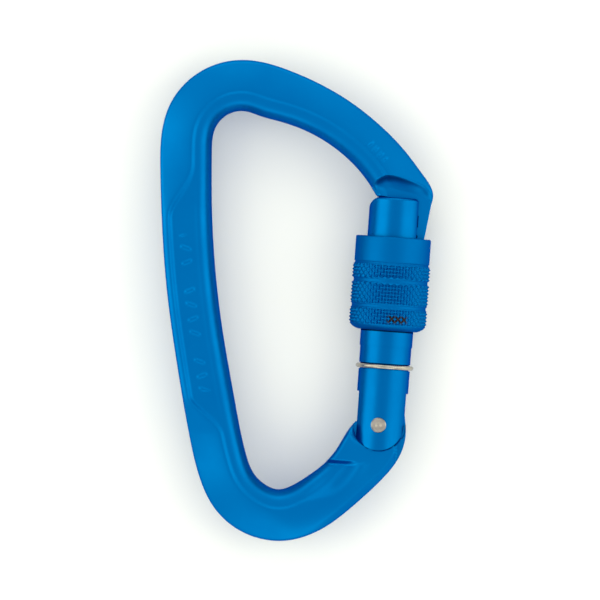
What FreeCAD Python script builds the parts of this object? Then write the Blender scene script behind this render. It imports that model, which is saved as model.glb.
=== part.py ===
import FreeCAD, Part
import math
import os

V = FreeCAD.Vector
UP = V(0, 0, 1)

# ---------------------------------------------------------------- dimensions
# Lengths in mm, angles in degrees.  The carabiner lies flat: X right, Y toward
# the nose, Z up.  MID_Z is the height of the common mid-plane of frame, gate
# and rivet; the sleeve, the fattest piece, just reaches down to Z = 0.
MID_Z = 8.0

# frame
FRAME_THICK = 10.2
INNER_ROUND = 2.7
OUTER_ROUND = 1.9
PANEL_DEPTH = 0.9
PANEL_LIP_OUT = 2.0
PANEL_LIP_IN = 2.8
PANEL_SAMPLES = 9
KEY_THICK = 5.0
KEY_BACK = -2.0
KEY_END_R = 39.45
KEY_NECK = 3.0
KEY_NECK_LOW = 41.2
KEY_NECK_HIGH = 43.4
HEAD_CLEAR_R = 46.85
TANG_THICK = 4.0
TANG_HOLE_R = 1.6
CAM_R = 4.6
CAM_RISE = 1.0
SWING = 25.0
RECESS_R = 5.35

# gate: the axis point level with the rivet, the tilt of the axis, and the
# stations along the axis (S) and across it (W) measured from that point
AXIS_X = 17.01
AXIS_Y = -25.48
GATE_TILT = 4.1
RIVET_W = -0.44
GATE_R = 5.4
GATE_TOP = 46.6
HEAD_ROUND_IN = 2.4
HEAD_ROUND_OUT = 0.8
HEAD_FLAT_W = 4.55
HEAD_EDGE_ROUND = 0.6
SHANK_STEP_S = 16.1
SHANK_R = 5.25
LEG_HALF_WIDTH = 4.88
LEG_END_R = 5.17
SLOT_WIDTH = 4.2
SLOT_TOP = 6.68
GROOVE_S = 11.96
GROOVE_WIDTH = 1.3
GROOVE_R = 5.0
BORE_R = 2.6
BORE_TOP = 24.0
KEY_GAP = 0.2
KEY_SLOT_R = 39.15
RIVET_R = 1.55
RIVET_LENGTH = 10.7
RIVET_CHAMFER = 0.2
RIVET_DIMPLE_R = 0.7
RIVET_DIMPLE_DEPTH = 0.15

# stop ring and spring parts
RING_WIRE_R = 0.45
RING_MEAN_R = 5.48
PLUNGER_R = 1.9
PLUNGER_TIP = 4.65
PLUNGER_FLANGE_R = 2.45
PLUNGER_FLANGE_LOW = 7.1
PLUNGER_FLANGE_HIGH = 8.1
PLUNGER_STEM_R = 1.5
PLUNGER_STEM_TOP = 14.0
SPRING_WIRE_R = 0.35
SPRING_MEAN_R = 2.0
SPRING_COILS = 9

# sleeve
SLEEVE_LOW = 19.4
SLEEVE_RIM = 38.5
SLEEVE_LOW_R = 6.0
KNURL_R = 8.0
COLLAR_R = 7.71
RIM_CHAMFER = 0.3
KNURL_LOW = 21.4
KNURL_HIGH = 32.8
COLLAR_LOW = 33.3
NECK_R = 7.5
KNURL_GROOVES = ((23.8, 24.7), (29.0, 29.97))
SLEEVE_BORE_R = 5.47
UPPER_BORE_R = 6.65
UPPER_BORE_LOW = 31.5
SEAL_S = 22.6
SEAL_GROOVE_WIDTH = 1.4
SEAL_GROOVE_R = 6.5
SEAL_INNER_R = 5.43
SEAL_OUTER_R = 6.45

HALF_THICK = FRAME_THICK / 2
REACH = 60.0

# Frame outline, seen from above: outer edge from the nose corner round by the
# top bend, the spine and the bottom bend to the heel, and inner edge back.
OUTER_EDGE = (
    (27.45, 19.6), (27.8, 21.6), (27.2, 23.5), (25.8, 25.6), (22.1, 30.5),
    (17.4, 35.4), (11.2, 40.4), (-1.2, 46.9), (-10.7, 49.2), (-16.7, 48.3),
    (-22.2, 45.1), (-26.0, 40.2), (-27.8, 33.7), (-28.0, 26.5), (-27.7, 17.0),
    (-26.7, 2.6), (-24.7, -12.2), (-22.2, -27.0), (-19.8, -36.8),
    (-17.5, -41.7), (-12.6, -46.6), (-3.5, -49.2), (4.9, -46.8),
    (11.7, -41.8), (17.1, -36.8), (20.9, -31.9), (22.2, -27.4), (22.0, -23.7),
)
INNER_EDGE = (
    (11.9, -24.8), (10.6, -26.4), (8.0, -30.6), (5.4, -33.5), (2.5, -35.7),
    (-1.1, -37.9), (-3.9, -38.7), (-6.6, -37.7), (-9.0, -35.3), (-10.5, -31.5),
    (-12.8, -20.5), (-15.6, -4.0), (-17.0, 9.1), (-17.5, 20.0), (-17.5, 30.5),
    (-16.8, 35.3), (-14.4, 38.0), (-10.9, 38.8), (-7.6, 37.8), (-4.4, 36.9),
    (0.5, 35.3), (6.5, 32.1), (10.6, 28.8), (13.6, 25.5), (16.2, 21.6),
)
POCKET_EDGE = (
    (16.3, 21.4), (15.9, 23.6), (17.2, 24.9), (19.0, 25.3), (21.5, 24.8),
    (24.3, 23.8), (26.3, 22.5), (26.9, 21.0), (27.3, 19.2),
)
# where the spine panel starts and ends beside the outer and the inner edge;
# the two sides end at different heights, so the panel ends are diagonal
PANEL_OUT_ENDS = ((-28.0, 18.3), (-23.4, -19.5))
PANEL_IN_ENDS = ((-17.5, 24.7), (-10.9, -29.8))


# ------------------------------------------------------------------- helpers
def on_gate(shape):
    """Carry a shape from gate axes (X = W, Y = S, Z = 0 at mid-plane)."""
    shape.rotate(V(0, 0, 0), UP, -GATE_TILT)
    shape.translate(V(AXIS_X, AXIS_Y, 0))
    return shape


def at_height(shape):
    """Lift a finished piece to the common mid-plane."""
    shape.translate(V(0, 0, MID_Z))
    return shape


def gate_point(w, s):
    tilt = math.radians(GATE_TILT)
    x = AXIS_X + w * math.cos(tilt) + s * math.sin(tilt)
    y = AXIS_Y - w * math.sin(tilt) + s * math.cos(tilt)
    return V(x, y, 0)


def spline_through(points):
    spline = Part.BSplineCurve()
    spline.interpolate(points)
    return spline


def curve_through(points):
    return spline_through([V(x, y, 0) for x, y in points]).toShape()


def beside(edge_points, ends, inset):
    """Curve inside an outline edge, between the points nearest two ends."""
    edge = spline_through([V(x, y, 0) for x, y in edge_points])
    first, last = [edge.parameter(V(x, y, 0)) for x, y in ends]
    points = []
    for i in range(PANEL_SAMPLES):
        at = first + (last - first) * i / (PANEL_SAMPLES - 1)
        along = edge.tangent(at)[0]
        points.append(edge.value(at) + V(-along.y, along.x, 0) * inset)
    return spline_through(points).toShape()


def slab(edges, half):
    """Prism of a closed outline, from -half to +half."""
    face = Part.Face(Part.Wire(edges))
    face.translate(V(0, 0, -half))
    return face.extrude(V(0, 0, 2 * half))


def polygon_slab(points, half):
    return slab(Part.makePolygon([*points, points[0]]).Edges, half)


def disc(radius, half, w=RIVET_W, s=0.0):
    return Part.makeCylinder(radius, 2 * half, V(w, s, -half), UP)


def band(low, high, half):
    """Ring about the rivet between two radii."""
    return disc(high, half).cut(disc(low, half))


def block(w_low, w_high, s_low, s_high, half):
    corner = V(w_low, s_low, -half)
    return Part.makeBox(w_high - w_low, s_high - s_low, 2 * half, corner)


def faces_outside(shape, half):
    """The parts of a prism beyond half the given thickness, on both sides."""
    core = Part.makeBox(4 * REACH, 4 * REACH, 2 * half,
                        V(-2 * REACH, -2 * REACH, -half))
    return shape.cut(core)


def turned(profile):
    """Revolve a closed (radius, station) profile about the gate axis."""
    points = [V(radius, station, 0) for radius, station in profile]
    face = Part.Face(Part.makePolygon([*points, points[0]]))
    return face.revolve(V(0, 0, 0), V(0, 1, 0), 360)


def rod(radius, low, high):
    return Part.makeCylinder(radius, high - low, V(0, low, 0), V(0, 1, 0))


# --------------------------------------------------------------------- frame
def arm_edges():
    """Closed outline of the full-thickness part of the frame."""
    nose, heel = V(*OUTER_EDGE[0], 0), V(*OUTER_EDGE[-1], 0)
    shoulder, corner = V(*INNER_EDGE[0], 0), V(*INNER_EDGE[-1], 0)
    return [curve_through(OUTER_EDGE), Part.makeLine(heel, shoulder),
            curve_through(INNER_EDGE), Part.makeLine(corner, nose)]


def key_plate():
    """Keylock tongue and the web that joins it to the top arm."""
    outline = [V(*OUTER_EDGE[0], 0), V(25.0, 24.5, 0), V(17.0, 26.5, 0),
               V(14.5, 24.8, 0), V(*INNER_EDGE[-1], 0),
               gate_point(KEY_BACK, 46.9), gate_point(KEY_BACK, 38.0),
               gate_point(6.3, 38.0)]
    return polygon_slab(outline, KEY_THICK / 2)


def long_edges(shape, points):
    """The two flat-face edges that follow the given outline points."""
    probe = [Part.Vertex(x, y, z) for x, y in points[4:-4:4]
             for z in (HALF_THICK, -HALF_THICK)]
    found = []
    for edge in shape.Edges:
        hits = [p for p in probe if edge.distToShape(p)[0] < 0.01]
        if len(hits) > 1:
            found.append(edge)
    return found


def spine_panel():
    """Shallow panel between the lips of the spine, both faces."""
    outer = beside(OUTER_EDGE, PANEL_OUT_ENDS, PANEL_LIP_OUT)
    inner = beside(INNER_EDGE, PANEL_IN_ENDS, PANEL_LIP_IN)
    ends = [Part.makeLine(a.Point, b.Point)
            for a, b in zip(outer.Vertexes, inner.Vertexes)]
    panel = slab([outer, ends[1], inner, ends[0]], HALF_THICK)
    return faces_outside(panel, HALF_THICK - PANEL_DEPTH)


def nose_pocket():
    begin, end = V(*POCKET_EDGE[0], 0), V(*POCKET_EDGE[-1], 0)
    path = [end, V(32, end.y, 0), V(32, 5, 0), V(begin.x, 5, 0), begin]
    sides = [Part.makeLine(a, b) for a, b in zip(path, path[1:])]
    pocket = slab([curve_through(POCKET_EDGE), *sides], HALF_THICK)
    return faces_outside(pocket, KEY_THICK / 2)


def make_frame():
    body = slab(arm_edges(), HALF_THICK)
    body = body.makeFillet(OUTER_ROUND, long_edges(body, OUTER_EDGE))
    body = body.makeFillet(INNER_ROUND, long_edges(body, INNER_EDGE))
    body = body.cut(spine_panel())
    body = body.cut(nose_pocket())
    body = body.fuse(key_plate())

    reach = block(-12, 15, 30, 50, HALF_THICK)
    body = body.cut(on_gate(disc(KEY_END_R, HALF_THICK).common(reach)))
    head_room = block(-12, KEY_BACK, 30, 50, HALF_THICK)
    body = body.cut(on_gate(disc(HEAD_CLEAR_R, HALF_THICK).common(head_room)))
    neck = band(KEY_NECK_LOW, KEY_NECK_HIGH, HALF_THICK).common(
        block(-12, HEAD_FLAT_W + 2 * KEY_GAP, 30, 50, HALF_THICK))
    body = body.cut(on_gate(faces_outside(neck, KEY_NECK / 2)))

    recess = disc(RECESS_R, HALF_THICK).fuse(
        block(RIVET_W, 9, -2.5, 8, HALF_THICK))
    body = body.cut(on_gate(recess))
    body = body.fuse(make_tang())
    body = body.cut(on_gate(disc(TANG_HOLE_R, HALF_THICK)))
    return at_height(body.removeSplitter())


def make_tang():
    """Flat hinge tang whose upper edge is the cam for the plunger."""
    def cam(angle):
        radius = CAM_R + CAM_RISE * max(0.0, angle) / SWING
        turn = math.radians(90 + angle)
        return V(RIVET_W + radius * math.cos(turn), radius * math.sin(turn), 0)

    spiral = Part.BSplineCurve()
    spiral.interpolate([cam(angle) for angle in range(0, 36, 5)])
    heel_low, heel_mid, heel_top = V(4.2, -6.1, 0), V(5.1, -2.0, 0), V(4.9, 1.3, 0)
    left_low = V(-5.7, -7, 0)
    left_top = V(-5.7, -0.6, 0)
    edges = [
        Part.Arc(heel_low, heel_mid, heel_top).toShape(),
        Part.Arc(heel_top, V(3.9, 3.3, 0), cam(-5)).toShape(),
        Part.makeLine(cam(-5), cam(0)),
        spiral.toShape(),
        Part.makeLine(cam(35), V(-4.7, 0.4, 0)),
        Part.makeLine(V(-4.7, 0.4, 0), left_top),
        Part.makeLine(left_top, left_low),
        Part.makeLine(left_low, heel_low),
    ]
    return on_gate(slab(edges, TANG_THICK / 2))


# ---------------------------------------------------------------------- gate
def make_gate():
    upper = rod(GATE_R, SHANK_STEP_S, GATE_TOP)
    top_edge = [e for e in upper.Edges if e.BoundBox.YMin > GATE_TOP - 0.01]
    upper = upper.makeFillet(HEAD_EDGE_ROUND, top_edge)
    body = rod(SHANK_R, -6, SHANK_STEP_S).fuse(upper)
    legs = disc(LEG_END_R, REACH).fuse(block(-9, 9, 0, SLOT_TOP, REACH))
    legs = legs.common(block(-LEG_HALF_WIDTH, LEG_HALF_WIDTH, -9,
                             SLOT_TOP, REACH))
    keep = legs.fuse(block(-9, 9, SLOT_TOP, GATE_TOP, REACH))
    body = body.common(keep)
    body = body.cut(block(-9, 9, -9, SLOT_TOP, SLOT_WIDTH / 2))
    body = body.cut(rod(BORE_R, 0, BORE_TOP))

    groove_low = GROOVE_S - GROOVE_WIDTH / 2
    groove_high = GROOVE_S + GROOVE_WIDTH / 2
    groove = rod(9, groove_low, groove_high)
    body = body.cut(groove.cut(rod(GROOVE_R, groove_low, groove_high)))

    body = body.cut(block(HEAD_FLAT_W, 9, KEY_SLOT_R - 0.5, 60, REACH))
    body = round_head(body)

    slot = block(KEY_BACK - 0.3, 9, 30, 60, KEY_THICK / 2 + KEY_GAP)
    slot = slot.cut(disc(KEY_SLOT_R, REACH))
    ribs = band(KEY_NECK_LOW + KEY_GAP, KEY_NECK_HIGH - KEY_GAP, REACH)
    ribs = faces_outside(ribs, KEY_NECK / 2 + KEY_GAP)
    body = body.cut(slot.cut(ribs))
    body = body.cut(disc(RIVET_R, REACH))
    return at_height(on_gate(body.removeSplitter()))


def round_head(body):
    """Round the two top corners of the head, seen from above."""
    for side, edge_w, radius in ((-1, -GATE_R, HEAD_ROUND_IN),
                                 (1, HEAD_FLAT_W, HEAD_ROUND_OUT)):
        centre_w = edge_w - side * radius
        low, high = sorted((centre_w, edge_w + side))
        waste = block(low, high, GATE_TOP - radius, GATE_TOP + 1, REACH)
        body = body.cut(waste.cut(
            disc(radius, REACH, centre_w, GATE_TOP - radius)))
    return body


def make_rivet():
    half = RIVET_LENGTH / 2
    pin = disc(RIVET_R, half)
    rims = [e for e in pin.Edges if e.BoundBox.ZLength < 0.001]
    pin = pin.makeChamfer(RIVET_CHAMFER, rims)
    for z in (-half, half):
        pin = pin.cut(Part.makeCone(
            RIVET_DIMPLE_R, 0.2, RIVET_DIMPLE_DEPTH,
            V(RIVET_W, 0, z), V(0, 0, -math.copysign(1, z))))
    return at_height(on_gate(pin))


def make_stop_ring():
    ring = Part.makeTorus(RING_MEAN_R, RING_WIRE_R, V(0, GROOVE_S, 0),
                          V(0, 1, 0))
    return at_height(on_gate(ring))


def make_plunger():
    tip = Part.makeSphere(PLUNGER_R, V(0, PLUNGER_TIP + PLUNGER_R, 0))
    shank = rod(PLUNGER_R, PLUNGER_TIP + PLUNGER_R, PLUNGER_FLANGE_LOW)
    flange = rod(PLUNGER_FLANGE_R, PLUNGER_FLANGE_LOW, PLUNGER_FLANGE_HIGH)
    stem = rod(PLUNGER_STEM_R, PLUNGER_FLANGE_HIGH, PLUNGER_STEM_TOP)
    body = tip.multiFuse([shank, flange, stem])
    return at_height(on_gate(body.removeSplitter()))


def make_spring():
    low = PLUNGER_FLANGE_HIGH + SPRING_WIRE_R + 0.02
    high = BORE_TOP - SPRING_WIRE_R - 0.02
    height = high - low
    helix = Part.makeHelix(height / SPRING_COILS, height, SPRING_MEAN_R)
    section = Part.Wire(Part.makeCircle(
        SPRING_WIRE_R, V(SPRING_MEAN_R, 0, 0), V(0, 1, 0)))
    coil = Part.Wire(helix).makePipeShell([section], True, True)
    coil.rotate(V(0, 0, 0), V(1, 0, 0), -90)
    coil.translate(V(0, low, 0))
    return at_height(on_gate(coil))


# -------------------------------------------------------------------- sleeve
def make_sleeve():
    profile = [(SLEEVE_BORE_R, SLEEVE_LOW), (SLEEVE_LOW_R, SLEEVE_LOW),
               (7.4, KNURL_LOW - 1.0), (KNURL_R, KNURL_LOW)]
    for low, high in KNURL_GROOVES:
        profile += [(KNURL_R, low), (NECK_R, low + 0.15),
                    (NECK_R, high - 0.15), (KNURL_R, high)]
    profile += [(KNURL_R, KNURL_HIGH), (NECK_R, KNURL_HIGH + 0.15),
                (NECK_R, COLLAR_LOW - 0.1), (COLLAR_R, COLLAR_LOW),
                (COLLAR_R, SLEEVE_RIM - RIM_CHAMFER),
                (COLLAR_R - RIM_CHAMFER, SLEEVE_RIM),
                (UPPER_BORE_R, SLEEVE_RIM), (UPPER_BORE_R, UPPER_BORE_LOW),
                (SLEEVE_BORE_R, UPPER_BORE_LOW - 0.8)]
    body = turned(profile)
    low = SEAL_S - SEAL_GROOVE_WIDTH / 2
    high = SEAL_S + SEAL_GROOVE_WIDTH / 2
    body = body.cut(rod(SEAL_GROOVE_R, low, high))
    return at_height(on_gate(body))


def make_friction_ring():
    wire_r = (SEAL_OUTER_R - SEAL_INNER_R) / 2
    mean_r = (SEAL_OUTER_R + SEAL_INNER_R) / 2
    ring = Part.makeTorus(mean_r, wire_r, V(0, SEAL_S, 0), V(0, 1, 0))
    return at_height(on_gate(ring))


NODES = {
    "frame": make_frame,
    "gate": make_gate,
    "gate_rivet": make_rivet,
    "stop_ring": make_stop_ring,
    "spring_plunger": make_plunger,
    "gate_spring": make_spring,
    "sleeve": make_sleeve,
    "sleeve_friction_ring": make_friction_ring,
}

os.makedirs("parts", exist_ok=True)
for name, make in NODES.items():
    make().exportStep(f"parts/{name}.step")
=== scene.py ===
import math

import bmesh
import bpy
import numpy as np
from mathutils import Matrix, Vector


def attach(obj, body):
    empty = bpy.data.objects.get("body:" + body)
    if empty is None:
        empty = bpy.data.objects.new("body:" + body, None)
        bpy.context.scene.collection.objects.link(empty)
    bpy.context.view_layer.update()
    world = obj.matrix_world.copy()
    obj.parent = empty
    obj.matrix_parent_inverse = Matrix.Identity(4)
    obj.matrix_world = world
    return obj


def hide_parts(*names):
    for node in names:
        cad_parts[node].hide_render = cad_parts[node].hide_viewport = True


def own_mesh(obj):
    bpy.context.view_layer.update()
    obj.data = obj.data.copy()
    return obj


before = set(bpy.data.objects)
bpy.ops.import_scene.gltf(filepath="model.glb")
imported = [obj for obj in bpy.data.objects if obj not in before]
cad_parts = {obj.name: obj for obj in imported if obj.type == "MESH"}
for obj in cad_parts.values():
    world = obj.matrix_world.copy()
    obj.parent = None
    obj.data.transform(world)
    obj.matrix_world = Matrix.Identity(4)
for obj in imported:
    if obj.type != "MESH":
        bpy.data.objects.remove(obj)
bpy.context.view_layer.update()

# All lengths are in millimetres and become metres where a mesh is made.
MM = 0.001
MID_Z = 8.0

# ------------------------------------------------------------ gate axis frame
# Stations s run along the gate axis toward the nose and w across it, both from
# the axis point level with the rivet.
AXIS = np.array([17.01, -25.48])
TILT = math.radians(4.1)
ALONG = np.array([math.sin(TILT), math.cos(TILT)])
ACROSS = np.array([math.cos(TILT), -math.sin(TILT)])
RIVET_W = -0.44


def gate_xy(w, s):
    return AXIS + w * ACROSS + s * ALONG


RIVET = gate_xy(RIVET_W, 0.0)

# ------------------------------------------------------------- frame outlines
OUTER = np.array([
    (27.45, 19.6), (27.8, 21.6), (27.2, 23.5), (25.8, 25.6), (22.1, 30.5),
    (17.4, 35.4), (11.2, 40.4), (-1.2, 46.9), (-10.7, 49.2), (-16.7, 48.3),
    (-22.2, 45.1), (-26.0, 40.2), (-27.8, 33.7), (-28.0, 26.5), (-27.7, 17.0),
    (-26.7, 2.6), (-24.7, -12.2), (-22.2, -27.0), (-19.8, -36.8),
    (-17.5, -41.7), (-12.6, -46.6), (-3.5, -49.2), (4.9, -46.8),
    (11.7, -41.8), (17.1, -36.8), (20.9, -31.9), (22.2, -27.4), (22.0, -23.7),
])
INNER = np.array([
    (16.2, 21.6), (13.6, 25.5), (10.6, 28.8), (6.5, 32.1), (0.5, 35.3),
    (-4.4, 36.9), (-7.6, 37.8), (-10.9, 38.8), (-14.4, 38.0), (-16.8, 35.3),
    (-17.5, 30.5), (-17.5, 20.0), (-17.0, 9.1), (-15.6, -4.0), (-12.8, -20.5),
    (-10.5, -31.5), (-9.0, -35.3), (-6.6, -37.7), (-3.9, -38.7), (-1.1, -37.9),
    (2.5, -35.7), (5.4, -33.5), (8.0, -30.6), (10.6, -26.4), (11.9, -24.8),
])
# opposite points of the two edges, which the cross rows of the mesh join
PAIRS = [
    ((27.45, 19.6), (16.2, 21.6)), ((22.1, 30.5), (11.6, 27.8)),
    ((11.2, 40.4), (5.0, 33.0)), ((-1.2, 46.9), (-3.2, 36.5)),
    ((-10.7, 49.2), (-10.0, 38.8)), ((-22.2, 45.1), (-15.0, 37.5)),
    ((-27.8, 33.7), (-17.4, 31.5)), ((-27.7, 17.0), (-17.5, 17.0)),
    ((-24.7, -12.2), (-14.4, -10.5)), ((-21.2, -31.0), (-11.0, -29.5)),
    ((-17.5, -41.7), (-9.0, -35.3)), ((-9.0, -48.2), (-5.6, -38.3)),
    ((0.0, -48.7), (-2.6, -38.5)), ((11.7, -41.8), (4.4, -34.3)),
    ((20.9, -31.9), (9.4, -28.4)), ((22.0, -23.7), (11.9, -24.8)),
]
POCKET = np.array([
    (16.3, 21.4), (15.9, 23.6), (17.2, 24.9), (19.0, 25.3), (21.5, 24.8),
    (24.3, 23.8), (26.3, 22.5), (26.9, 21.0), (27.3, 19.2),
])

HALF = 5.1            # half thickness of the frame
OUTER_ROUND = 0.6
INNER_ROUND = 3.0
BEND_ROUND = 2.6      # inner round in the bends
LIP_TOP = 4.5         # half thickness at the top of the inner round
LIP_POWER = 2.15      # exponent of the inner round, 2 for an ellipse
ARM_SINK = 1.45       # how much lower lip and valley are at the lower right
MARK_HEIGHT = 0.24
RECESS_R = 5.21       # recess round the rivet that clears the gate legs
RECESS_Z = 1.8        # half thickness left in that recess
POCKET_Z = 2.3        # half thickness left in the pocket behind the nose


def spline(points, step=0.08):
    """Dense points of the natural cubic curve through the given points."""
    points = np.asarray(points, float)
    chords = np.linalg.norm(np.diff(points, axis=0), axis=1)
    t = np.concatenate([[0], np.cumsum(chords)])
    n = len(points)
    h = np.diff(t)
    system = np.eye(n)
    right = np.zeros((n, 2))
    for i in range(1, n - 1):
        system[i, i - 1:i + 2] = h[i - 1], 2 * (h[i - 1] + h[i]), h[i]
        right[i] = 6 * ((points[i + 1] - points[i]) / h[i]
                        - (points[i] - points[i - 1]) / h[i - 1])
    bend = np.linalg.solve(system, right)
    at = np.linspace(0, t[-1], int(t[-1] / step) + 1)
    k = np.clip(np.searchsorted(t, at) - 1, 0, n - 2)
    a = ((t[k + 1] - at) / h[k])[:, None]
    b = 1 - a
    hk = h[k][:, None]
    return (a * points[k] + b * points[k + 1]
            + ((a ** 3 - a) * bend[k] + (b ** 3 - b) * bend[k + 1]) * hk ** 2 / 6)


class Curve:
    """Smooth edge line, with lengths along it and distances to it."""

    def __init__(self, points):
        self.dense = spline(points)
        steps = np.linalg.norm(np.diff(self.dense, axis=0), axis=1)
        self.length = np.concatenate([[0], np.cumsum(steps)])
        self.along = np.gradient(self.dense, axis=0)
        self.along /= np.linalg.norm(self.along, axis=1)[:, None]

    def station(self, point):
        return self.length[np.argmin(((self.dense - point) ** 2).sum(1))]

    def at(self, station):
        return np.stack([np.interp(station, self.length, self.dense[:, i])
                         for i in (0, 1)], -1)

    def distance(self, xy):
        """Distance to the curve, and which side: positive on its left.

        Beside a sample point the distance is square to the curve, so that the
        spacing of the samples does not show. Past the ends it is to the end.
        """
        out = np.empty(len(xy))
        side = np.empty(len(xy))
        for i in range(0, len(xy), 3000):
            d = xy[i:i + 3000, None] - self.dense[None]
            square = (d ** 2).sum(2)
            near = square.argmin(1)
            rows = np.arange(len(near))
            v = d[rows, near]
            u = self.along[near]
            off = u[:, 0] * v[:, 1] - u[:, 1] * v[:, 0]
            beside = np.abs((u * v).sum(1)) < 0.06
            direct = np.sqrt(square[rows, near])
            out[i:i + 3000] = np.where(beside, np.abs(off), direct)
            side[i:i + 3000] = off
        return out, np.sign(side)


outer = Curve(OUTER)
inner = Curve(INNER)
pocket = Curve(POCKET)


def ease(x, low, high):
    """Smooth step from 0 at low to 1 at high."""
    t = np.clip((x - low) / (high - low), 0, 1)
    return t * t * (3 - 2 * t)


def mix(a, b, t):
    return a + (b - a) * t


def relief_marks(xy):
    """Low raised ticks in the spine panel, and three more near the nose."""
    u = xy[:, 1]
    down = -3.4 - u
    middle = -21.3 + 0.1314 * down + 0.00206 * down ** 2
    across = xy[:, 0] - middle
    step = 2.9
    cell = np.floor((u + 40.0) / step)
    local = (u + 40.0) - (cell + 0.5) * step
    lean = local - 0.35 * across * np.where(cell % 2 < 1, 1, -1)
    tick = (1 - ease(np.abs(lean), 0.24, 0.46))
    tick = tick * (1 - ease(np.abs(across), 0.75, 1.15))
    raised = tick * (u > -18.5) * (u < 13.5)
    raised = raised * (np.abs(across) < 1.2) * (cell % 5 > 0)
    nose = xy - np.array((16.4, 30.4))
    along = nose @ np.array((0.66, -0.75))
    over = nose @ np.array((0.75, 0.66))
    bar = (1 - ease(np.abs((along + 4.5) % 1.5 - 0.75), 0.16, 0.4))
    bar = bar * (np.abs(along) < 2.25)
    raised = raised + bar * (1 - ease(np.abs(over), 0.5, 0.9))
    return MARK_HEIGHT * raised


def frame_height(xy):
    """Half thickness of the frame at each point, and distance to its inside."""
    d_out = outer.distance(xy)[0]
    d_in = inner.distance(xy)[0]
    x, y = xy[:, 0], xy[:, 1]
    width = d_out + d_in

    # how much of the bend profile there is: 0 along the spine, 1 elsewhere;
    # arm_side and heel_side grow toward the lower right
    bend = np.maximum(ease(y, 16.8, 28.0), ease(-y, 19.6, 27.5))
    bend = np.where(x > -5, 1.0, bend)
    arm_side = ease(x, 0.5, 8.0) * (y < -20)
    crest = mix(1.25, width - 4.1 - 2.2 * arm_side, bend)

    # outer part: small edge round, and a crown where it is broad
    heel_side = ease(x, 0.0, 12.0) * (y < 0)
    edge = np.clip(d_out / OUTER_ROUND, 0, 1)
    round_off = 1 - np.sqrt(np.clip(1 - (1 - edge) ** 2, 0, 1))
    outer_z = HALF - OUTER_ROUND * round_off
    crown = np.clip(1 - d_out / crest, 0, 1)
    power = 1.35 + 0.8 * ease(x, -8.0, 2.0) * (y < 0)
    fall = 1.75 - 0.8 * heel_side + 0.9 * ease(-x, 0.0, 8.0) * (y < 0)
    swell = np.where(x > -5, 1.0, ease(np.abs(y), 17.0, 33.5))
    drop = mix(0.45, fall, swell) * crown ** mix(1.7, power, bend)
    outer_z = outer_z - drop - 0.15 * bend
    outer_z = outer_z - 1.0 * heel_side * (1 - ease(d_out, 0.0, 1.7))

    # inner lip: a large elliptical round that bears on the rope
    lip = np.clip(d_in / mix(INNER_ROUND, BEND_ROUND, bend), 0, 1)
    lip_top = LIP_TOP - ARM_SINK * arm_side
    lip_round = np.clip(1 - (1 - lip) ** LIP_POWER, 0, 1) ** (1 / LIP_POWER)
    lip_z = lip_top * lip_round

    # valley or panel between the crest and the lip
    floor_z = mix(HALF - 0.7, HALF - 0.55, bend) - ARM_SINK * arm_side
    wall = mix(0.95, 0.9, bend) + 3.0 * bend * (1 - bend) + 2.6 * arm_side
    arm = mix(outer_z, floor_z, ease(d_out, crest - 0.15, crest + wall))
    lip_line = mix(3.25, 2.5, bend)
    arm = mix(lip_z, arm, ease(d_in, lip_line - 0.5, lip_line + 0.5))

    # low boss round the hinge, and a slanting crease where the arm begins
    small = np.clip(d_in / 0.9, 0, 1)
    boss_z = 3.3 + 1.1 * np.sqrt(np.clip(1 - (1 - small) ** 2, 0, 1))
    boss_z = np.minimum(boss_z, outer_z + 0.05)
    crease = y - (-32.4 - 0.0575 * (x - 7.9))
    sharp = ease(-crease, 0.0, 1.15)
    soft = ease(-crease, 0.3, 5.5)
    beyond = mix(sharp, soft, ease(d_in, 4.6, 8.0))
    near_hinge = (x > 0) & (y < -15)
    z = np.where(near_hinge, mix(boss_z, arm, beyond), arm)
    return z + relief_marks(xy), d_in


def frame_rows():
    """Matching points of the outer and the inner edge, one pair per row."""
    so = np.array([outer.station(np.array(a)) for a, _ in PAIRS])
    si = np.array([inner.station(np.array(b)) for _, b in PAIRS])
    mean = (so + si) / 2
    total = mean[-1]
    fine, coarse, ends = 0.13, 0.20, 11.0
    r = [0.0]
    while r[-1] < total:
        near_end = r[-1] < ends + 9 or r[-1] > total - ends
        r.append(r[-1] + (fine if near_end else coarse))
    r = np.array(r[:-1] + [total])
    return outer.at(np.interp(r, mean, so)), inner.at(np.interp(r, mean, si))


def frame_columns(width):
    """Distances from the inner edge, dense where the section curves."""
    n_in, n_mid, n_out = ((14, 30, 8))
    a = INNER_ROUND * (1 - np.cos(np.linspace(0, math.pi / 2, n_in)))
    c = width - OUTER_ROUND * (1 - np.cos(np.linspace(math.pi / 2, 0, n_out)))
    b = np.linspace(a[-1], c[0], n_mid + 2)[1:-1]
    return np.concatenate([a, b, c])


def snap_ring(xy, z, low_z):
    """Sink everything near the rivet to make the recess for the gate legs.

    Points close to the recess edge move onto it, just inside or just outside,
    which keeps the step sharp. The flank is a wider part beside the open leg.
    """
    half_cell = 0.17
    rel = xy - RIVET
    rho = np.linalg.norm(rel, axis=1)
    s = rel @ ALONG
    w = rel @ ACROSS
    flank = (w > 0) & (s > -2.5) & (rho < 5.6)
    inside = (rho < RECESS_R) | flank | (s > 0.8)
    close = np.abs(rho - RECESS_R) < half_cell
    target = np.where(rho < RECESS_R, RECESS_R - 0.012, RECESS_R + 0.012)
    moved = RIVET + rel / np.maximum(rho, 1e-6)[:, None] * target[:, None]
    keep = close & ~flank & (s < 0.8)
    xy = np.where(keep[:, None], moved, xy)
    beside = ease(-rho, -RECESS_R - 1.2, -RECESS_R)
    beside = beside * ease(s, -5.0, -2.0) * (w < 0)
    z = mix(z, np.minimum(z, 3.7), beside)
    ramp = mix(low_z, HALF, ease(-s, -0.8, 2.2))
    z = np.where(w > 0, np.minimum(z, ramp), z)
    return xy, np.where(inside, np.minimum(z, low_z), z)


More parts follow.
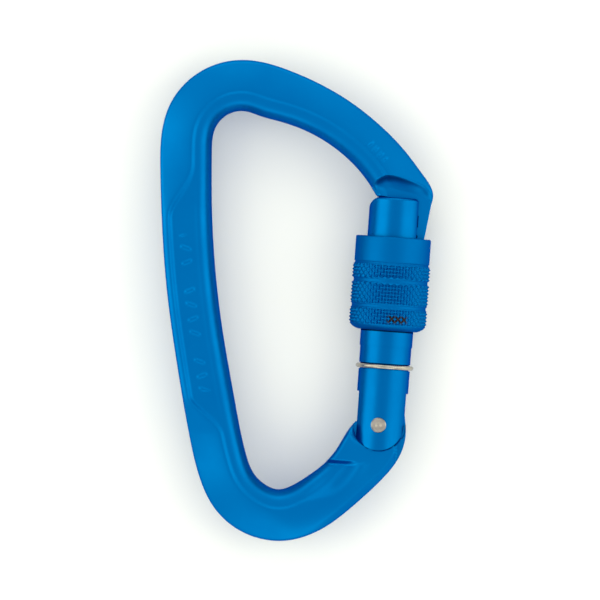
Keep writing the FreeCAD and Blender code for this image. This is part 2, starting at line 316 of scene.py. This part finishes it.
def new_mesh(name, verts, faces, smooth=True):
    mesh = bpy.data.meshes.new(name)
    mesh.from_pydata([tuple(v) for v in verts], [], faces)
    mesh.update()
    if smooth:
        mesh.polygons.foreach_set("use_smooth", [True] * len(mesh.polygons))
    obj = bpy.data.objects.new(name, mesh)
    bpy.context.collection.objects.link(obj)
    return obj


def place(obj, body, *nodes, slot=None, material=None):
    """Put a piece on its body, with the nodes it replaces; the argument slot is not
    used.
    """
    if nodes:
        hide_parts(*nodes)
    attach(obj, body)
    if material:
        obj.data.materials.append(material)
    return obj


def build_frame_arm():
    po, pi = frame_rows()
    rows = len(po)
    width = np.linalg.norm(po - pi, axis=1)
    cols = np.array([frame_columns(w) / w for w in width])
    n = cols.shape[1]
    xy = pi[:, None] + (po - pi)[:, None] * cols[..., None]
    xy = xy.reshape(-1, 2)
    z, d_in = frame_height(xy)

    # pocket behind the nose: rounded rim, then a steep wall
    d, side = pocket.distance(xy)
    depth = -d * side
    near = (xy[:, 0] > 12) & (xy[:, 1] > 15)
    depth = np.where(near, depth, -9.0)
    depth = np.where(near & (xy[:, 1] < 21.4) & (d > 3), 9.0, depth)
    cove = np.exp(-np.clip(depth, 0, 9))
    cove = cove * (1 - 0.22 * ease(depth, -0.5, 0.1))
    sunk = POCKET_Z + np.clip(z - POCKET_Z, 0, 9) * cove
    z = np.where(depth > -0.5, sunk, z)

    # the nose thins down to the tongue
    thin = ease(22.6 - xy[:, 1], 0, 2.6) * (xy[:, 0] > 20)
    z = mix(z, np.minimum(z, 2.45), thin)

    # recess for the gate legs
    heel = (xy[:, 0] > 8) & (xy[:, 1] < -15)
    moved, sunk = snap_ring(xy, z, RECESS_Z)
    xy = np.where(heel[:, None], moved, xy)
    z = np.where(heel, sunk, z)

    grid = np.arange(rows * n).reshape(rows, n)
    z = z.reshape(rows, n)
    # the inner edge itself stays at or below 3.9
    on_edge = d_in.reshape(rows, n)[:, 0] < 0.05
    z[:, 0] = np.where(on_edge, np.minimum(z[:, 0], 3.9), z[:, 0])
    top = np.concatenate([xy, z.reshape(-1, 1)], 1)
    bottom = top.copy()
    bottom[:, 2] *= -1
    verts = np.concatenate([top, bottom])
    verts[:, 2] += MID_Z
    base = rows * n
    faces = []
    for i in range(rows - 1):
        for j in range(n - 1):
            a, b = grid[i, j], grid[i, j + 1]
            e, c = grid[i + 1, j], grid[i + 1, j + 1]
            faces.append((a, b, c, e))
            faces.append((base + a, base + e, base + c, base + b))

    # side walls between the two faces, and the two end caps
    verts = list(map(tuple, verts))

    def wall(line, flip):
        levels = 5
        previous = list(line)
        for k in range(1, levels + 1):
            if k == levels:
                current = [base + g for g in line]
            else:
                f = k / levels
                current = []
                for g in line:
                    a, b = verts[g], verts[base + g]
                    current.append(len(verts))
                    verts.append((a[0], a[1], a[2] + (b[2] - a[2]) * f))
            for p in range(len(line) - 1):
                q = (previous[p], current[p], current[p + 1], previous[p + 1])
                faces.append(q if flip else q[::-1])
            previous = current

    wall([int(g) for g in grid[:, -1]], True)
    wall([int(g) for g in grid[:, 0]], False)
    wall([int(g) for g in grid[0, :]], True)
    wall([int(g) for g in grid[-1, :]], False)
    verts = np.array(verts) * MM
    obj = new_mesh("frame_arm", verts, faces)
    weld(obj)
    return obj


def weld(obj, distance=1e-7):
    bm = bmesh.new()
    bm.from_mesh(obj.data)
    bmesh.ops.remove_doubles(bm, verts=bm.verts, dist=distance)
    bmesh.ops.recalc_face_normals(bm, faces=bm.faces)
    bm.to_mesh(obj.data)
    bm.free()


def prism(name, outline, half, bevel):
    """Upright prism of a closed outline about the mid-plane, edges bevelled."""
    n = len(outline)
    verts = [(x * MM, y * MM, (MID_Z + z) * MM)
             for z in (-half, half) for x, y in outline]
    faces = [tuple(range(n))[::-1], tuple(range(n, 2 * n))]
    faces += [(i, (i + 1) % n, n + (i + 1) % n, n + i) for i in range(n)]
    obj = new_mesh(name, verts, faces, smooth=False)
    weld(obj, 1e-9)
    m = obj.modifiers.new("edge", "BEVEL")
    m.width = bevel * MM
    m.segments = 3
    m.limit_method = "ANGLE"
    m.angle_limit = math.radians(35)
    m.harden_normals = True
    obj.data.polygons.foreach_set("use_smooth", [True] * len(obj.data.polygons))
    return obj


def arc_about_rivet(radius, w_from, w_to, steps=14):
    out = []
    for w in np.linspace(w_from, w_to, steps):
        out.append(gate_xy(w, math.sqrt(radius ** 2 - (w - RIVET_W) ** 2)))
    return out


def build_key():
    """Tongue that the gate head closes on, in two thicknesses."""
    back, notch_w = -2.0, 4.62
    edge_top = np.array([27.43, 19.6])
    inside = [np.array(p) for p in
              ((25.0, 24.6), (20.0, 26.6), (15.2, 25.0), (16.25, 21.75))]
    tip = [gate_xy(4.66, 38.2), gate_xy(6.05, 38.2), gate_xy(6.25, 38.75)]
    full = [edge_top, *inside,
            *arc_about_rivet(46.74, -3.95, back, 4),
            *arc_about_rivet(43.4, back, notch_w),
            *arc_about_rivet(41.2, notch_w, back),
            *arc_about_rivet(39.45, back, 4.62), *tip]
    core = [edge_top + (-0.05, 0), *inside,
            *arc_about_rivet(46.78, -3.9, back + 0.03, 4),
            *arc_about_rivet(39.5, back + 0.03, 4.6)]
    plate = prism("frame_key", full, 2.5, 0.18)
    neck = prism("frame_key_neck", core, 1.5, 0.1)
    return plate, neck


def build_tang():
    """Hinge tang between the gate legs, with the cam that the plunger rides."""
    cam_r, cam_rise, swing = 4.6, 1.0, 25.0

    def cam(angle):
        radius = cam_r + cam_rise * max(0.0, angle) / swing
        turn = math.radians(90 + angle)
        return gate_xy(RIVET_W + radius * math.cos(turn), radius * math.sin(turn))

    def arc(a, b, c, steps=12):
        a, b, c = (np.array(p, float) for p in (a, b, c))
        out = []
        for t in np.linspace(0, 1, steps):
            p = a * (1 - t) * (1 - 2 * t) + b * 4 * t * (1 - t) + c * t * (2 * t - 1)
            out.append(gate_xy(*p))
        return out

    lead_in = math.radians(5)
    top = (RIVET_W + cam_r * math.sin(lead_in), cam_r * math.cos(lead_in))
    outline = [*arc((4.2, -6.1), (5.1, -2.0), (4.9, 1.3)),
               *arc((4.9, 1.3), (3.9, 3.3), top)[1:],
               *[cam(a) for a in range(0, 36, 3)],
               gate_xy(-4.7, 0.4), gate_xy(-5.7, -0.6), gate_xy(-5.7, -7.0)]
    return prism("frame_tang", outline, 2.0, 0.12)


# ------------------------------------------------------------------ materials
# painted shade colour for the bottoms of the knurl grooves
PIT_SHADE_BLUE = (0.0, 0.055, 0.23)
WEAR_BROWN = (0.03, 0.022, 0.015)
# painted shadow lines on the gate, in the groove above the stop ring and just under
# the sleeve rim
SHADE_LINE_BLUE = (0.0, 0.012, 0.05)
SHADE_LINES = ((12.30, 12.66), (19.08, 19.5))   # stations on the gate
LINE_SOFT = 0.06


def nodes_of(name):
    material = bpy.data.materials.new(name)
    material.use_nodes = True
    tree = material.node_tree
    return material, tree, tree.nodes["Principled BSDF"]


def link(tree, a, b):
    tree.links.new(a, b)


def noise(tree, coords, scale, detail=3.0, roughness=0.5):
    n = tree.nodes.new("ShaderNodeTexNoise")
    n.inputs["Scale"].default_value = scale
    n.inputs["Detail"].default_value = detail
    n.inputs["Roughness"].default_value = roughness
    link(tree, coords, n.inputs["Vector"])
    return n.outputs["Fac"]


def remap(tree, value, low, high, to_low, to_high):
    m = tree.nodes.new("ShaderNodeMapRange")
    for i, v in enumerate((low, high, to_low, to_high)):
        m.inputs[i + 1].default_value = v
    link(tree, value, m.inputs[0])
    return m.outputs[0]


def bumped(tree, bsdf, parts):
    """Chain of bump nodes: (height, strength, distance in metres)."""
    normal = None
    for height, strength, distance in parts:
        b = tree.nodes.new("ShaderNodeBump")
        b.inputs["Strength"].default_value = strength
        b.inputs["Distance"].default_value = distance
        link(tree, height, b.inputs["Height"])
        if normal is not None:
            link(tree, normal, b.inputs["Normal"])
        normal = b.outputs["Normal"]
    link(tree, normal, bsdf.inputs["Normal"])


def object_coords(tree, stretch=None, turn=0.0):
    c = tree.nodes.new("ShaderNodeTexCoord").outputs["Object"]
    if stretch is None:
        return c
    m = tree.nodes.new("ShaderNodeMapping")
    m.inputs["Scale"].default_value = stretch
    m.inputs["Rotation"].default_value = (0, 0, turn)
    link(tree, c, m.inputs["Vector"])
    return m.outputs["Vector"]


def knurl_masks(tree):
    """Painted shade in the knurl grooves, and dark wear in a few of them."""
    out = []
    for name, colour in (("pit_shade", PIT_SHADE_BLUE), ("stain", WEAR_BROWN)):
        attribute = tree.nodes.new("ShaderNodeAttribute")
        attribute.attribute_name = name
        out.append((attribute.outputs["Fac"], colour))
    return out


def shade_line_masks(tree):
    """Painted shadow lines round the gate: in the groove above the stop ring, and
    under the sleeve rim.
    """
    along = tree.nodes.new("ShaderNodeVectorMath")
    along.operation = "DOT_PRODUCT"
    along.inputs[1].default_value = (*ALONG, 0)
    link(tree, object_coords(tree), along.inputs[0])
    start = float(AXIS @ ALONG)
    out = []
    for low, high in SHADE_LINES:
        low, high = (start + low) * MM, (start + high) * MM
        soft = LINE_SOFT * MM
        rise = remap(tree, along.outputs["Value"], low, low + soft, 0, 1)
        fall = remap(tree, along.outputs["Value"], high - soft, high, 1, 0)
        both = tree.nodes.new("ShaderNodeMath")
        both.operation = "MULTIPLY"
        link(tree, rise, both.inputs[0])
        link(tree, fall, both.inputs[1])
        out.append((both.outputs[0], SHADE_LINE_BLUE))
    return out


def anodised(name, base, deep, roughness, grain=(1, 1, 1), masks=None):
    """Dyed satin aluminium: blasted micro texture and faint blotches.

    Each mask lays a darker colour over it, painted shade or wear, and the
    attribute knurled, which only the sleeve has, makes the cut bands less rough.
    """
    material, tree, bsdf = nodes_of(name)
    flat = object_coords(tree)
    cloud = noise(tree, flat, 90, 4)
    fine = noise(tree, object_coords(tree, grain, TILT), 5200, 2, 0.6)
    blend = tree.nodes.new("ShaderNodeMix")
    blend.data_type = "RGBA"
    blend.inputs["A"].default_value = (*base, 1)
    blend.inputs["B"].default_value = (*deep, 1)
    link(tree, remap(tree, cloud, 0.35, 0.75, 0.0, 1.0), blend.inputs["Factor"])
    bsdf.inputs["Metallic"].default_value = 1.0
    bsdf.inputs["Specular Tint"].default_value = (*EDGE, 1)
    colour_out = blend.outputs["Result"]
    for mask, colour in masks(tree) if masks else ():
        over = tree.nodes.new("ShaderNodeMix")
        over.data_type = "RGBA"
        over.inputs["B"].default_value = (*colour, 1)
        link(tree, colour_out, over.inputs["A"])
        link(tree, mask, over.inputs["Factor"])
        colour_out = over.outputs["Result"]
    link(tree, colour_out, bsdf.inputs["Base Color"])
    rough = tree.nodes.new("ShaderNodeMath")
    rough.operation = "ADD"
    knurled = tree.nodes.new("ShaderNodeAttribute")
    knurled.attribute_name = "knurled"
    crisp = tree.nodes.new("ShaderNodeMath")
    crisp.operation = "MULTIPLY_ADD"
    crisp.inputs[1].default_value = -0.2
    link(tree, remap(tree, cloud, 0.3, 0.7, roughness - 0.03, roughness + 0.04),
         rough.inputs[0])
    link(tree, remap(tree, fine, 0.3, 0.7, -0.02, 0.03), rough.inputs[1])
    link(tree, knurled.outputs["Fac"], crisp.inputs[0])
    link(tree, rough.outputs[0], crisp.inputs[2])
    link(tree, crisp.outputs[0], bsdf.inputs["Roughness"])
    bumped(tree, bsdf, [(noise(tree, flat, 260, 2), 0.10, 0.0002),
                        (fine, 0.10, 0.00002)])
    return material


def bare_steel(name, colour, roughness, grain):
    material, tree, bsdf = nodes_of(name)
    streak = noise(tree, object_coords(tree, grain, TILT), 1500, 3, 0.6)
    cloud = noise(tree, object_coords(tree), 900, 3)
    blend = tree.nodes.new("ShaderNodeMix")
    blend.data_type = "RGBA"
    blend.inputs["A"].default_value = (*colour, 1)
    blend.inputs["B"].default_value = (*[0.7 * c for c in colour], 1)
    link(tree, remap(tree, cloud, 0.45, 0.75, 0.0, 1.0), blend.inputs["Factor"])
    link(tree, blend.outputs["Result"], bsdf.inputs["Base Color"])
    bsdf.inputs["Metallic"].default_value = 1.0
    link(tree, remap(tree, streak, 0.3, 0.7, roughness - 0.08, roughness + 0.1),
         bsdf.inputs["Roughness"])
    bumped(tree, bsdf, [(streak, 0.15, 0.00003)])
    return material


def rubber(name):
    material, tree, bsdf = nodes_of(name)
    cloud = noise(tree, object_coords(tree), 1200, 4)
    blend = tree.nodes.new("ShaderNodeMix")
    blend.data_type = "RGBA"
    blend.inputs["A"].default_value = (0.018, 0.018, 0.019, 1)
    blend.inputs["B"].default_value = (0.035, 0.035, 0.036, 1)
    link(tree, cloud, blend.inputs["Factor"])
    link(tree, blend.outputs["Result"], bsdf.inputs["Base Color"])
    link(tree, remap(tree, cloud, 0.3, 0.7, 0.55, 0.75), bsdf.inputs["Roughness"])
    bumped(tree, bsdf, [(cloud, 0.2, 0.00005)])
    return material


# --------------------------------------------------------------------- sleeve
KNURL_BANDS = ((20.5, 23.8), (24.7, 29.0), (29.97, 32.8))
KNURL_START, KNURL_END = 20.4, 32.95   # dense rings of the mesh
KNURL_R = 8.0
KNURL_DEPTH = 0.55
WEAR_STATION, WEAR_ANGLE = 21.7, math.radians(76)


def sleeve_radius(s):
    """Outer radius of the sleeve without the knurl."""
    stations = [19.4, 19.62, 20.0, 20.5, 20.9, 23.75, 23.95, 24.55, 24.75,
                28.95, 29.15, 29.8, 30.0, 32.75, 32.92, 33.2, 33.35,
                38.2, 38.42, 38.5]
    radii = [6.0, 6.65, 7.3, 7.75, 7.9, 7.9, 7.6, 7.6, 7.9,
             7.9, 7.6, 7.6, 7.9, 7.9, 7.55, 7.55, 7.7,
             7.7, 7.62, 7.45]
    return np.interp(s, stations, radii)


def build_sleeve():
    """Sleeve with two crossing sets of knurl grooves cut in three bands."""
    around, per = 36, (12)
    columns = around * per
    pitch = 2 * math.pi * KNURL_R / around
    step = pitch / per
    theta = np.arange(columns) * 2 * math.pi / columns
    stations = [19.4, 19.5, 19.62, 19.8, 20.0, 20.2]
    s = KNURL_START
    while s < KNURL_END:
        stations.append(s)
        s += step
    stations += [33.0, 33.2, 33.28, 33.36, 33.5, 34.0, 35, 36, 37,
                 38.0, 38.2, 38.3, 38.36, 38.42, 38.46, 38.5]
    stations = np.array(stations)
    radius = sleeve_radius(stations)[:, None] * np.ones(columns)
    a = theta[None] * around / (2 * math.pi)
    b = (stations[:, None] - KNURL_START) / pitch

    def wave(v):
        return np.abs((v % 1.0) - 0.5) * 2

    pattern = 1 - np.maximum(1 - wave(a + b), 1 - wave(a - b))
    pit_shade = np.zeros_like(radius)
    for lo, hi in KNURL_BANDS:
        inside = ease(stations, lo - 0.05, lo + 0.2)
        inside = inside * (1 - ease(stations, hi - 0.2, hi + 0.05))
        radius += inside[:, None] * (KNURL_DEPTH * pattern - 0.45)
        pit_shade = np.maximum(pit_shade, inside[:, None] * (1 - pattern) ** 2.5)
    bore = [(5.47, 19.4), (5.47, 30.7), (6.65, 31.5), (6.65, 38.4), (6.7, 38.5)]
    verts, faces = [], []

    def ring(r, s):
        start = len(verts)
        for k, t in enumerate(theta):
            rr = r[k] if np.ndim(r) else r
            w, up = rr * math.cos(t), rr * math.sin(t)
            x, y = gate_xy(w, s)
            verts.append((x * MM, y * MM, (MID_Z + up) * MM))
        return start

    rings = [ring(radius[i], s) for i, s in enumerate(stations)]
    rings += [ring(r, s) for r, s in bore[::-1]]
    rings.append(rings[0])
    for a0, b0 in zip(rings, rings[1:]):
        for k in range(columns):
            k2 = (k + 1) % columns
            faces.append((a0 + k, b0 + k, b0 + k2, a0 + k2))
    # painted shade: darkens the base colour in the knurl grooves, most at their
    # bottoms
    shade = np.zeros(len(verts))
    shade[:pit_shade.size] = 0.45 * pit_shade.ravel()
    wear = ease(1.9 - np.abs(stations - WEAR_STATION)[:, None] * 1.9, 0, 1)
    wear = wear * (1 - ease(np.abs(theta - WEAR_ANGLE)[None], 0.22, 0.34))
    stain = wear * ease(pit_shade, 0.15, 0.45)
    obj = new_mesh("sleeve_knurled", verts, faces)
    knurled = (np.ones(columns) * (pit_shade.max(1) > 0)[:, None]).ravel()
    for name, values in (("pit_shade", shade), ("stain", stain.ravel()),
                         ("knurled", knurled)):
        data = obj.data.attributes.new(name, "FLOAT", "POINT").data
        rest = np.zeros(len(verts) - len(values))
        data.foreach_set("value", np.concatenate([values, rest]))
    weld(obj, 1e-9)
    return obj


# --------------------------------------------------------------------- spring
def build_spring():
    """Open coil of round wire between the plunger and the end of the bore."""
    wire, mean, coils = 0.35, 2.0, 9
    low, high = 8.1 + wire + 0.02, 24.0 - wire - 0.02
    per_turn, ring = 36, 12
    steps = coils * per_turn
    verts, faces = [], []
    for i in range(steps + 1):
        t = i / per_turn * 2 * math.pi
        s = low + (high - low) * i / steps
        out = np.array([math.cos(t), math.sin(t)])
        for k in range(ring):
            f = 2 * math.pi * k / ring
            r = mean + wire * math.cos(f)
            x, y = gate_xy(r * out[0], s + wire * math.sin(f))
            verts.append((x * MM, y * MM, (MID_Z + r * out[1]) * MM))
    for i in range(steps):
        for k in range(ring):
            a, b = i * ring + k, i * ring + (k + 1) % ring
            faces.append((a, b, b + ring, a + ring))
    faces.append(tuple(range(ring))[::-1])
    faces.append(tuple(range(steps * ring, (steps + 1) * ring)))
    obj = new_mesh("gate_spring_coil", verts, faces)
    weld(obj, 1e-9)
    return obj


# ------------------------------------------------------------------- assembly
BLUE = (0.0, 0.149, 0.448)
DEEP = (0.0, 0.137, 0.428)
EDGE = (0.01, 0.27, 0.72)
blue_frame = anodised("anodised_frame", BLUE, DEEP, 0.43)
blue_gate = anodised("anodised_gate", (0.0, 0.130, 0.405), (0.0, 0.120, 0.385),
                     0.38, (1, 0.05, 1), shade_line_masks)
blue_sleeve = anodised("anodised_sleeve", (0.0, 0.125, 0.395),
                       (0.0, 0.115, 0.375), 0.54, masks=knurl_masks)
rivet_steel = bare_steel("rivet_steel", (0.40, 0.37, 0.33), 0.34, (1, 1, 1))
ring_steel = bare_steel("ring_steel", (0.42, 0.39, 0.34), 0.28, (0.1, 1, 1))
spring_steel = bare_steel("spring_steel", (0.50, 0.50, 0.50), 0.3, (1, 0.2, 1))
black_rubber = rubber("black_rubber")

place(build_frame_arm(), "frame", "frame", slot="anodised_blue", material=blue_frame)
for piece in build_key():
    place(piece, "frame", slot="anodised_blue", material=blue_frame)
place(build_tang(), "frame", slot="anodised_blue", material=blue_frame)
place(build_sleeve(), "sleeve", "sleeve", slot="anodised_blue_sleeve",
      material=blue_sleeve)

coil = build_spring()
place(coil, "gate", "gate_spring", slot="spring_steel", material=spring_steel)
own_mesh(coil)

# the other pieces are the CAD solids themselves, with a material each
for node, material in {"gate": blue_gate, "gate_rivet": rivet_steel,
                       "stop_ring": ring_steel, "spring_plunger": spring_steel,
                       "sleeve_friction_ring": black_rubber}.items():
    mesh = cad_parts[node].data
    mesh.materials.clear()
    mesh.materials.append(material)


# ---------------------------------------------------------------------- stage
# Lengths and places in this section are in metres.
LIGHT_COLOUR = (0.92, 0.95, 0.64)
CAMERA_HEIGHT = 1.2
FIELD_WIDTH = 0.123   # width in view at the mid-plane of the part
SENSOR = 36           # millimetres, as the lens is


def floor_material():
    material, tree, bsdf = nodes_of("paper_floor")
    bsdf.inputs["Base Color"].default_value = (0.905, 0.912, 0.925, 1)
    bsdf.inputs["Roughness"].default_value = 0.9
    bsdf.inputs["Specular IOR Level"].default_value = 0.1
    return material


def area_light(name, position, width, height, power):
    data = bpy.data.lights.new(name, "AREA")
    data.shape = "RECTANGLE"
    data.size = width
    data.size_y = height
    data.energy = power
    data.color = LIGHT_COLOUR
    obj = bpy.data.objects.new(name, data)
    bpy.context.collection.objects.link(obj)
    obj.location = position
    obj.rotation_euler = (-Vector(position)).to_track_quat("-Z", "Y").to_euler()


floor_corners = [(-3, -3, 0), (3, -3, 0), (3, 3, 0), (-3, 3, 0)]
floor = new_mesh("floor", floor_corners, [(0, 1, 2, 3)], smooth=False)
floor.data.materials.append(floor_material())

world = bpy.data.worlds.new("studio")
world.use_nodes = True
bpy.context.scene.world = world
background = world.node_tree.nodes["Background"]
background.inputs["Color"].default_value = (1.0, 1.0, 1.0, 1)
background.inputs["Strength"].default_value = 0.97

area_light("softbox_left", (-0.70, 0.05, 0.40), 0.5, 0.9, 2.3)
area_light("softbox_right", (0.70, 0.05, 0.40), 0.5, 0.9, 2.0)
area_light("softbox_far", (0.0, 0.75, 0.42), 0.9, 0.5, 1.7)
area_light("softbox_near", (0.0, -0.75, 0.42), 0.9, 0.5, 1.7)

camera_data = bpy.data.cameras.new("camera")
camera = bpy.data.objects.new("camera", camera_data)
bpy.context.collection.objects.link(camera)
camera.location = (0.00056, 0.0001, CAMERA_HEIGHT)
camera.rotation_euler = (0, 0, 0)
camera_data.sensor_width = SENSOR
camera_data.lens = SENSOR * (CAMERA_HEIGHT - MID_Z * MM) / FIELD_WIDTH
camera_data.clip_end = 20
bpy.context.scene.camera = camera
bpy.context.scene.view_settings.view_transform = "Standard"

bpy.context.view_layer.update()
